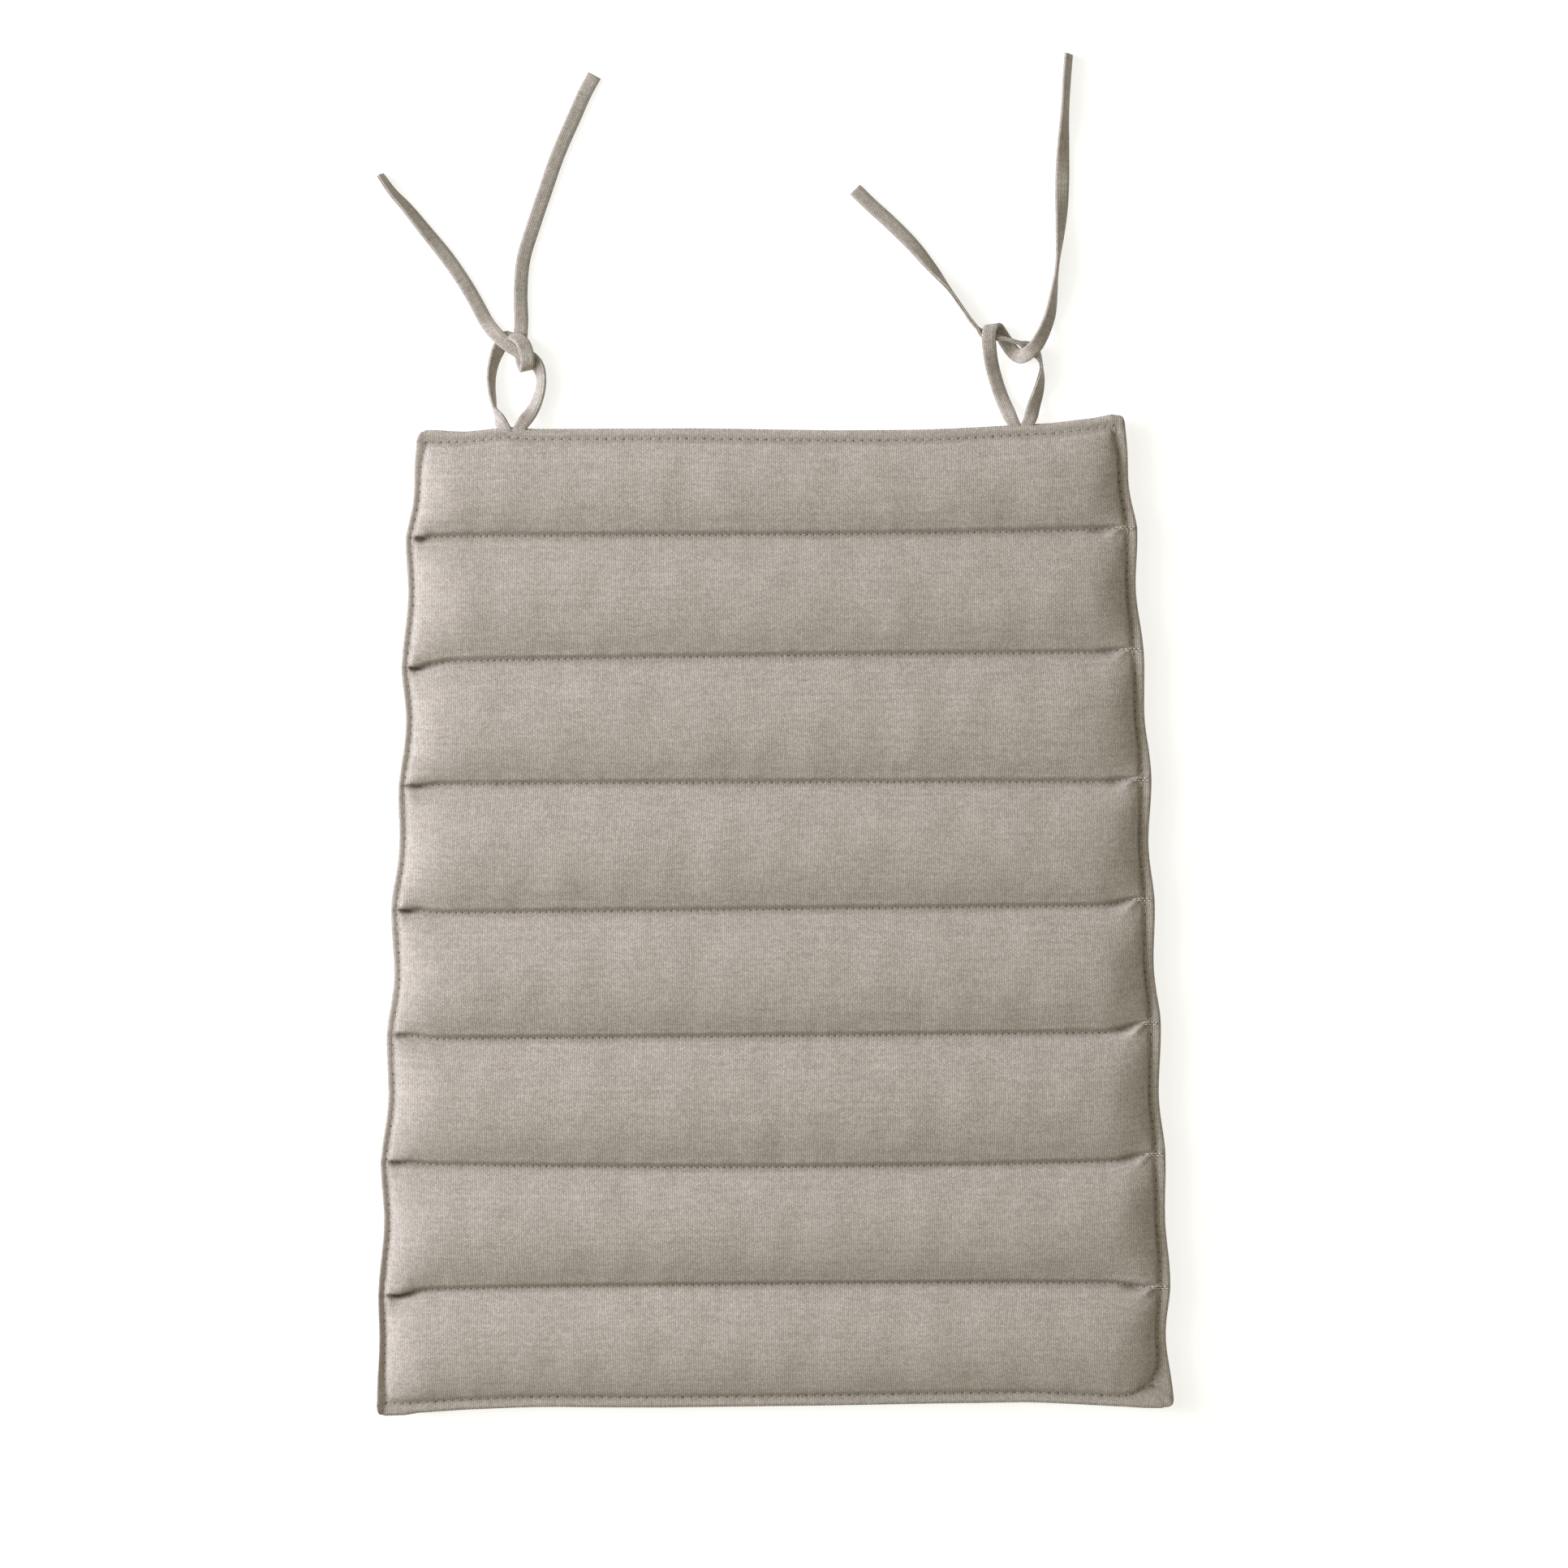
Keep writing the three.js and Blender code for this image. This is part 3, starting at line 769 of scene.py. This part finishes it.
def side_swell(cover, puff):
    swell = smoothstep(puff / (5 * MM)) * np.exp(-np.maximum(cover.inside, 0) / (9 * MM))
    return np.where(cover.x < 0, -SIDE_SWELL[-1], SIDE_SWELL[1]) * swell


def finish_surface(cover, side):
    """Adds what is finer than the simulation, and lets the pad rest on the floor."""
    surface = cover.surface[side]
    puff = np.abs(surface[..., 2] - SEAM_Z) - SEAM_HALF
    puff = np.where(cover.inside > 0, np.maximum(puff, 0), 0)
    behind, _ = seam_distances(cover.y)
    to_border = np.minimum(cover.inside, np.minimum(REAR_Y - BORDER - cover.y, cover.y - FRONT_Y - BORDER))
    from_seam = np.abs(behind)
    sewn_cloth = to_border > 0
    nearest = np.maximum(np.minimum(from_seam, to_border), 0)
    lip = np.where(behind > 0, LIP_REAR, LIP_FRONT)
    lip = lip * smoothstep((nearest - SEWN_FLAT) / (1.4 * MM)) * np.exp(-nearest / LIP_REACH) * sewn_cloth
    full = smoothstep(puff / (8 * MM))
    soft = ripple(cover.x, cover.y, 11 + side, 34 * MM) * 0.22 * MM * full
    fine = ripple(cover.x, cover.y, 21 + side, 13 * MM) * 0.05 * MM * full
    near_seam = np.exp(-nearest / (6 * MM)) * (1 - np.exp(-nearest / (1.5 * MM)))
    pucker = ripple(cover.x, cover.y * 0.25, 31 + side, 9 * MM) * 0.16 * MM * near_seam * sewn_cloth
    at_ends = end_puckers(cover)
    if side == BOTTOM:
        at_ends = 0.4 * np.maximum(at_ends, 0)
    surface[..., 2] += side * (lip + soft + fine + pucker + at_ends)
    surface[..., 1] -= LEAN * smoothstep(puff / (11 * MM)) * (side == TOP)
    surface[..., 1] += end_bends(cover) - overhang(cover)
    surface[..., 0] += side_swell(cover, puff)
    surface[..., :] = shape_edges(cover, surface)
    height = surface[..., 2]
    if side == BOTTOM:
        under_top = cover.surface[TOP][..., 2] - LEAST_THICKNESS
        height = np.where(cover.inside > 0, np.minimum(height, under_top), height)
    surface[..., 2] = 0.5 * (height + np.sqrt(height ** 2 + FLOOR_SOFTNESS ** 2))


CORNER_CUTS = [(1, FRONT_Y, 6.5), (-1, FRONT_Y, 1.5), (1, REAR_Y, 0.5), (-1, REAR_Y, 1.4)]  # last in mm


def inner_part(cover):
    """0 on the border's fold, 1 inside its topstitch."""
    outside = np.maximum(-cover.inside, np.maximum(cover.y - REAR_Y, FRONT_Y - cover.y) + BORDER)
    return 1 - smoothstep(outside / BORDER)


# How far each sewn line wanders from its straight place: offset, tilt over half the width, bow, in mm
SEAM_WANDER = [(0, 0, 0), (-1.2, 0.3, 0), (0.8, 1.2, 0.3), (0.8, -0.7, 0), (0.8, 0.8, -0.6), (0.4, 0.5, -0.5),
               (-0.6, -0.5, -2.2), (1.5, 0.5, 0.3), (0, 0, 0)]


def seam_wander(x, y):
    lines = [REAR_Y - BORDER] + SEAMS + [FRONT_Y + BORDER]
    offset, tilt, bow = (np.interp(-y, [-line for line in lines], [row[k] for row in SEAM_WANDER])
                         for k in range(3))
    across = x / REAR_HALF
    return (offset * (1 - 0.6 * across ** 2) + tilt * across + bow * np.maximum(1 - across ** 2, 0)) * MM


BORDER_LIFT = [0.4, 0.2, 0.6, 0.2, -0.3, 0.3, 0.9, 2.4]  # millimetres that the left border's fold stands up


LEFT_OUT = 2.3 * MM  # the left side stands out this much more than the right one
FRONT_IN = 2.7 * MM  # the front edge draws in this much
LEFT_NARROW = 1.7 * MM  # the left border is this much narrower
RIGHT_IN = 2.6 * MM  # and the right side draws in this much in the front channel


# How far the rear and front edges wander towards the rear: (x, distance), in millimetres
REAR_EDGE = [(-188, 0.5), (-177, 0.9), (-166, -0.9), (-159, -1.7), (-149, -1.0), (-137, 0.5), (-124, -0.8),
             (-40, -1.0), (34, -2.6), (92, -2.6), (130, -2.9), (148, -3.2), (160, -2.4), (170, -1.7),
             (180, 0.0), (188, 0.6)]
FRONT_EDGE = [(-206, 0.0), (-194, 0.2), (-187, 1.2), (-165, 1.7), (-126, 1.3), (-90, 0.7), (-60, 0.4),
              (0, 0.7), (107, 0.8), (132, 1.2), (158, 0.8), (184, 0.3), (195, -0.2), (206, -0.2)]

# How far the whole pad wanders to the right: (y, distance), in millimetres, from the front to the rear
SIDE_DRIFT = [(-260, -0.9), (-214, -1.1), (-156, -0.9), (-130, -1.5), (-85, -0.9), (-34, -0.3), (12, -0.7),
              (44, 0.2), (66, 0.8), (89, 1.5), (115, 1.1), (140, 0.0), (260, 0.0)]


def edge_wander(place, edge):
    places, distances = zip(*edge)
    return np.interp(place / MM, places, distances) * MM


def border_lift(cover):
    channel_middles = [-(a + b) / 2 for a, b in zip([REAR_Y] + SEAMS, SEAMS + [FRONT_Y])]
    lift = np.interp(-cover.y, channel_middles, BORDER_LIFT) * MM
    outside = np.clip(-cover.inside / BORDER, 0, 1)
    return lift * outside ** 1.5 * (cover.x < 0)


def shape_edges(cover, surface):
    """The edges' own shapes: corners that stand out a little, and rounded corners of the border."""
    x, y = cover.x, cover.y
    rear = np.exp(-np.maximum(REAR_Y - BORDER - y, 0) / (26 * MM))
    front = np.exp(-np.maximum(y - FRONT_Y - BORDER, 0) / (26 * MM))
    out = surface.copy()
    out[..., 1] += seam_wander(x, y)
    out[..., 0] += edge_wander(y, SIDE_DRIFT) - LEFT_OUT * smoothstep(-x / (120 * MM))
    out[..., 0] += LEFT_NARROW * np.clip(-cover.inside / BORDER, 0, 1) * (x < 0)
    out[..., 0] -= RIGHT_IN * smoothstep(x / (100 * MM)) * bell(y - FRONT_Y - 36 * MM, 24 * MM)
    out[..., 2] += border_lift(cover)
    right_corner = smoothstep((x - 70 * MM) / (118 * MM)) * 4.9 * MM
    left_corner = smoothstep((-x - 150 * MM) / (40 * MM)) * -2.2 * MM
    out[..., 1] += rear * (right_corner + left_corner)
    out[..., 1] -= front * (smoothstep((-x - 110 * MM) / (95 * MM)) * 3.0 * MM
                            + smoothstep((x - 130 * MM) / (75 * MM)) * 1.6 * MM)
    out[..., 1] += front * (FRONT_IN + bell(x - 105 * MM, 60 * MM) * 0.8 * MM)
    out[..., 1] += rear * edge_wander(x, REAR_EDGE) + front * edge_wander(x, FRONT_EDGE)
    for sign_x, end, cut in CORNER_CUTS:
        corner_y = end - BORDER if end > 0 else end + BORDER
        from_corner = np.hypot(cover.inside, y - corner_y)
        pull = cut * MM * bell(from_corner, 13 * MM) * (x * sign_x > 0) * inner_part(cover)
        out[..., 0] -= sign_x * pull
        out[..., 1] -= np.sign(end) * pull
        if surface is cover.surface[TOP]:
            cover.pattern -= np.stack([sign_x * pull, np.sign(end) * pull], -1) / MM
    # Round the border's corners: pull points towards the corner of the topstitch
    over_x = np.clip(-cover.inside / BORDER, 0, 1)
    over_y = np.clip(np.maximum(y - (REAR_Y - BORDER), (FRONT_Y + BORDER) - y) / BORDER, 0, 1)
    shrink_x = 1 - np.sqrt(1 - CORNER_ROUND * over_y ** 2 * over_x ** 2 * 0.9)
    out[..., 0] -= np.sign(x) * over_x * BORDER * shrink_x
    out[..., 1] -= np.sign(y) * over_y * BORDER * shrink_x
    return out


def stitch_field(cover):
    """For each point: stitches along the nearest sewn line, and millimetres from that line."""
    side_line = np.abs(cover.inside)
    end_line = np.minimum(np.abs(cover.y - (REAR_Y - BORDER)), np.abs(cover.y - (FRONT_Y + BORDER)))
    seam_line = np.min([np.abs(cover.y - seam) for seam in SEAMS], axis=0)
    across = np.minimum(end_line, seam_line)
    border_along = np.where(side_line < end_line, cover.y, cover.x) / BORDER_PITCH
    on_seam = seam_line < np.minimum(side_line, end_line)
    along = np.where(on_seam, cover.x / QUILT_PITCH, border_along)
    return np.stack([along, np.minimum(side_line, across) / MM], -1)


def grid_normals(surface):
    down = np.gradient(surface, axis=0)
    along = np.gradient(surface, axis=1)
    return unit(np.cross(down, along))


def cover_piece(cover, side, first, last):
    """Points, faces and UVs of one cover between two rows: a closed shell, coarser on its hidden face."""
    surface = cover.surface[side][first:last + 1]
    rows, columns = surface.shape[:2]
    facing = unit(cover.normals[side][first:last + 1])
    inner = surface - facing * CLOTH_THICKNESS
    outer_index = np.arange(rows * columns).reshape(rows, columns)
    keep_rows = sorted(set(range(0, rows, 2)) | {rows - 1})
    keep_columns = sorted(set(range(0, columns, 2)) | {columns - 1})
    inner_index = outer_index.size + np.arange(len(keep_rows) * len(keep_columns)).reshape(
        len(keep_rows), len(keep_columns))
    inner_points = inner[np.ix_(keep_rows, keep_columns)]
    points = np.concatenate([surface.reshape(-1, 3), inner_points.reshape(-1, 3)])

    def quads(index, flip):
        found = np.stack([index[:-1, :-1], index[1:, :-1], index[1:, 1:], index[:-1, 1:]], -1).reshape(-1, 4)
        return (found[:, ::-1] if flip else found).tolist()

    faces = quads(outer_index, side == BOTTOM) + quads(inner_index, side == TOP)
    rims = [
        (outer_index[0], inner_index[0], keep_columns, False),
        (outer_index[-1], inner_index[-1], keep_columns, True),
        (outer_index[:, 0], inner_index[:, 0], keep_rows, True),
        (outer_index[:, -1], inner_index[:, -1], keep_rows, False),
    ]
    rim_start = len(faces)
    for outside, within, kept, flip in rims:
        for i in range(len(kept) - 1):
            face = outside[kept[i]:kept[i + 1] + 1].tolist() + [int(within[i + 1]), int(within[i])]
            faces.append(face if flip != (side == BOTTOM) else face[::-1])
    take = np.ix_(range(first, last + 1), range(columns))
    weave, stitched = cover.pattern[take], cover.stitched[take]
    pick = np.ix_(keep_rows, keep_columns)
    layers = {
        WEAVE: np.concatenate([weave.reshape(-1, 2), weave[pick].reshape(-1, 2)]),
        STITCHED: np.concatenate([stitched.reshape(-1, 2), stitched[pick].reshape(-1, 2)]),
    }
    return points, faces, layers, rim_start


def mark_rims_sharp(obj, rim_start):
    """The hidden rims don't round off the shading of the cloth that they end."""
    mesh = obj.data
    sharp = mesh.attributes.new("sharp_edge", "BOOLEAN", "EDGE") if "sharp_edge" not in mesh.attributes \
        else mesh.attributes["sharp_edge"]
    flags = np.zeros(len(mesh.edges), bool)
    for polygon in mesh.polygons[rim_start:]:
        for loop in polygon.loop_indices:
            flags[mesh.loops[loop].edge_index] = True
    sharp.data.foreach_set("value", flags)


def blend_at(obj):
    """Bakes obj's placement into its mesh."""
    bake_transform(obj)


def cuts(cover):
    """Row ranges of the seven lengths of cover, each with one fold in it, parted on the crowns."""
    middles = [(a + b) // 2 for a, b in zip(cover.sewn, cover.sewn[1:])]
    last = cover.surface[TOP].shape[0] - 1
    edges = [0] + middles[1:-1] + [last]
    return list(zip(edges, edges[1:]))


def make_cloth_pieces(cover, material):
    cover.normals = {}
    for side in (TOP, BOTTOM):
        normals = grid_normals(cover.surface[side]) * side
        rim = np.zeros(normals.shape[:2], bool)
        rim[0] = rim[-1] = rim[:, 0] = rim[:, -1] = True
        normals[rim, 2] = 0
        cover.normals[side] = unit(normals)
    for fold, (first, last) in enumerate(cuts(cover), start=1):
        for side, word in ((TOP, "top"), (BOTTOM, "bottom")):
            points, faces, layers, rim_start = cover_piece(cover, side, first, last)
            name = f"{word}_cloth_{fold}"
            cloth = add_mesh(name, points, faces, material, layers)
            mark_rims_sharp(cloth, rim_start)
            stood_for = [fold] if fold < len(SEAMS) else [fold, fold + 1]
            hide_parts(*[f"{word}_cover_{number}" for number in stood_for])
            blend_at(cloth)


# ---- Wadding ----

WADDING_CLEARANCE = 1.3 * MM


def make_wadding(cover, material):
    """One closed length of wadding inside each channel."""
    low_column, high_column = cover.sides
    columns = list(range(low_column + 5, high_column - 4, 3))
    for channel, (first, last) in enumerate(zip(cover.sewn, cover.sewn[1:]), start=1):
        rows = list(range(first + 5, last - 4, 2))
        take = np.ix_(rows, columns)
        top = cover.surface[TOP][take] - cover.normals[TOP][take] * WADDING_CLEARANCE
        bottom = cover.surface[BOTTOM][take] - cover.normals[BOTTOM][take] * WADDING_CLEARANCE
        shape = top.shape[:2]
        upper = np.arange(top[..., 0].size).reshape(shape)
        lower = upper + upper.size
        faces = []
        for index, flip in ((upper, False), (lower, True)):
            quads = np.stack([index[:-1, :-1], index[1:, :-1], index[1:, 1:], index[:-1, 1:]], -1)
            quads = quads.reshape(-1, 4)
            faces += (quads[:, ::-1] if flip else quads).tolist()
        loop_up = np.concatenate([upper[0, :-1], upper[:-1, -1], upper[-1, :0:-1], upper[:0:-1, 0]])
        loop_down = loop_up + upper.size
        for i in range(len(loop_up)):
            j = (i + 1) % len(loop_up)
            faces.append([int(loop_up[i]), int(loop_up[j]), int(loop_down[j]), int(loop_down[i])])
        points = np.concatenate([top.reshape(-1, 3), bottom.reshape(-1, 3)])
        fill = add_mesh(f"wadding_fill_{channel}", points, faces, material)
        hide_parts(f"wadding_{channel}")
        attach(fill, f"channel_{channel}")


# ---- Stitches ----

STITCH_SIDES = 6
STITCH_SHARE = 0.74  # of the pitch that the thread shows before it goes down again


def stitch_mesh(line, facing):
    """One thread stitch from line[0] to line[1]: it rises from its hole, lies along and dips again."""
    start, end = line
    along = unit(end - start)
    across = unit(np.cross(facing, along))
    stations = [(-0.04, -0.45, 0.55), (0.06, 0.35, 0.95), (0.5, 0.62, 1.0), (0.94, 0.35, 0.95), (1.04, -0.45, 0.55)]
    rings = []
    for place, rise, size in stations:
        centre = start + (end - start) * place + facing * rise * THREAD_RADIUS
        rings.append([centre + THREAD_RADIUS * size * (across * math.cos(a) + facing * math.sin(a))
                      for a in np.linspace(0, math.tau, STITCH_SIDES, endpoint=False)])
    return np.array(rings).reshape(-1, 3)


def stitch_faces(base):
    faces = []
    for ring in range(4):
        for side in range(STITCH_SIDES):
            a, b = ring * STITCH_SIDES + side, ring * STITCH_SIDES + (side + 1) % STITCH_SIDES
            faces.append([base + a, base + b, base + b + STITCH_SIDES, base + a + STITCH_SIDES])
    faces.append([base + side for side in range(STITCH_SIDES)][::-1])
    faces.append([base + 4 * STITCH_SIDES + side for side in range(STITCH_SIDES)])
    return faces


def stitches_along(track, facing, phase):
    """Stitch points and faces along a track. phase is the stitch count at each of its points."""
    points, faces = [], []
    first, last = math.ceil(min(phase[0], phase[-1])), math.floor(max(phase[0], phase[-1]))
    order = np.argsort(phase)
    track, facing, phase = track[order], facing[order], phase[order]

    def at(value, count):
        return np.array([np.interp(count, phase, value[:, k]) for k in range(3)])

    for number in range(first, last):
        # Holes are at the half counts, as in the cloth's own holes
        begin = number + 0.5 + (1 - STITCH_SHARE) / 2
        end = number + 1.5 - (1 - STITCH_SHARE) / 2
        if end > phase[-1] or begin < phase[0]:
            continue
        line = at(track, begin), at(track, end)
        faces += stitch_faces(len(points) * 5 * STITCH_SIDES)
        points.append(stitch_mesh(line, unit(at(facing, (begin + end) / 2))))
    return points, faces


def gather(tracks):
    points, faces = [], []
    for track, facing, phase in tracks:
        new_points, new_faces = stitches_along(track, facing, phase)
        offset = sum(len(p) for p in points)
        points += new_points
        faces += [[index + offset for index in face] for face in new_faces]
    return np.concatenate(points), faces


BACK_TACK = 9 * MM
BACK_TACK_PITCH = 2.2 * MM


def back_tacks(cover, row, high):
    """Stitches sewn back over a quilting seam's right end, across the border."""
    reach = [c for c in range(high - 12, high + 7) if abs(cover.inside[row, c]) < BACK_TACK]
    track = cover.surface[TOP][row, reach]
    facing = np.broadcast_to(np.array([0.0, 0.0, 1.0]), track.shape)
    tacks = []
    for aside, rise in ((-0.55 * MM, 0.15 * MM), (0.5 * MM, 0.2 * MM)):
        shifted = track + np.array([0, aside, rise])
        tacks.append((shifted, facing, (cover.x[row, reach] + aside) / BACK_TACK_PITCH))
    return tacks


def make_stitches(cover, material, tack_material):
    low, high = cover.sides
    up = np.array([0.0, 0.0, 1.0])
    for fold in range(1, len(SEAMS) + 1):
        row = cover.sewn[fold]
        tracks = []
        for side in (TOP, BOTTOM):
            track = cover.surface[side][row, low:high + 1]
            phase = cover.x[row, low:high + 1] / QUILT_PITCH
            tracks.append((track, np.broadcast_to(up * side, track.shape), phase))
        seam_faces = len(gather(tracks)[1])
        points, faces = gather(tracks + back_tacks(cover, row, high))
        seam = add_mesh(f"quilting_stitches_{fold}", points, faces, material)
        seam.data.materials.append(tack_material)
        for polygon in seam.data.polygons[seam_faces:]:
            polygon.material_index = 1
        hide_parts(f"quilting_thread_{fold}")
        blend_at(seam)
    for fold, (first, last) in enumerate(cuts(cover), start=1):
        first_row = max(first, cover.sewn[0])
        last_row = min(last, cover.sewn[-1])
        tracks = []
        for side in (TOP, BOTTOM):
            surface = cover.surface[side]
            for column in (low, high):
                track = surface[first_row:last_row + 1, column]
                phase = cover.y[first_row:last_row + 1, column] / BORDER_PITCH
                tracks.append((track, np.broadcast_to(up * side, track.shape), phase))
            for row, there in ((cover.sewn[0], fold == 1), (cover.sewn[-1], fold == len(SEAMS))):
                if there:
                    track = surface[row, low:high + 1]
                    phase = cover.x[row, low:high + 1] / BORDER_PITCH
                    tracks.append((track, np.broadcast_to(up * side, track.shape), phase))
        points, faces = gather(tracks)
        border = add_mesh(f"border_stitches_{fold}", points, faces, material)
        stood_for = [f"border_thread_{word}_{fold}" for word in ("left", "right")] if fold > 1 \
            else ["border_thread_rear"]
        if fold == len(SEAMS):
            stood_for.append("border_thread_front")
        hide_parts(*stood_for)
        blend_at(border)


# ---- Studio ----


def area_light(name, place, target, size, power, colour):
    data = bpy.data.lights.new(name, "AREA")
    data.shape = "RECTANGLE"
    data.size, data.size_y = size
    data.energy = power
    data.color = colour
    light = bpy.data.objects.new(name, data)
    light.location = place
    light.rotation_euler = (Vector(target) - Vector(place)).to_track_quat("-Z", "Y").to_euler()
    bpy.context.collection.objects.link(light)


def make_studio():
    mesh = bpy.data.meshes.new("floor")
    reach = 6.0
    mesh.from_pydata([(-reach, -reach, 0), (reach, -reach, 0), (reach, reach, 0), (-reach, reach, 0)], [],
                     [(0, 1, 2, 3)])
    mesh.materials.append(floor_material())
    floor = bpy.data.objects.new("floor", mesh)
    floor.location.z = -0.2 * MM
    bpy.context.collection.objects.link(floor)
    world = bpy.data.worlds.new("studio")
    world.use_nodes = True
    background = world.node_tree.nodes["Background"]
    background.inputs["Color"].default_value = (1.0, 0.95, 0.73, 1)
    background.inputs["Strength"].default_value = 0.33
    bpy.context.scene.world = world
    area_light("window", (-2.6, 0.75, 1.25), (0, 0, 0), (1.8, 1.6), 112, (0.94, 0.965, 1.1))
    area_light("ceiling", (-1.9, 0.4, 2.1), (0, 0, 0), (2.0, 2.0), 28, (0.98, 0.98, 0.86))
    bpy.context.scene.view_settings.view_transform = "Standard"


def main():
    make_camera()
    cloth = cloth_material("cover_canvas", stitched=True)
    tape = cloth_material("tape_canvas", stitched=False)
    thread = thread_material("sewing_thread", THREAD_COLOUR)
    tack_thread = thread_material("tack_thread", TACK_COLOUR)
    make_ties(tape)
    cover = make_cover()
    make_cloth_pieces(cover, cloth)
    make_wadding(cover, wadding_material())
    make_stitches(cover, thread, tack_thread)
    make_studio()


main()
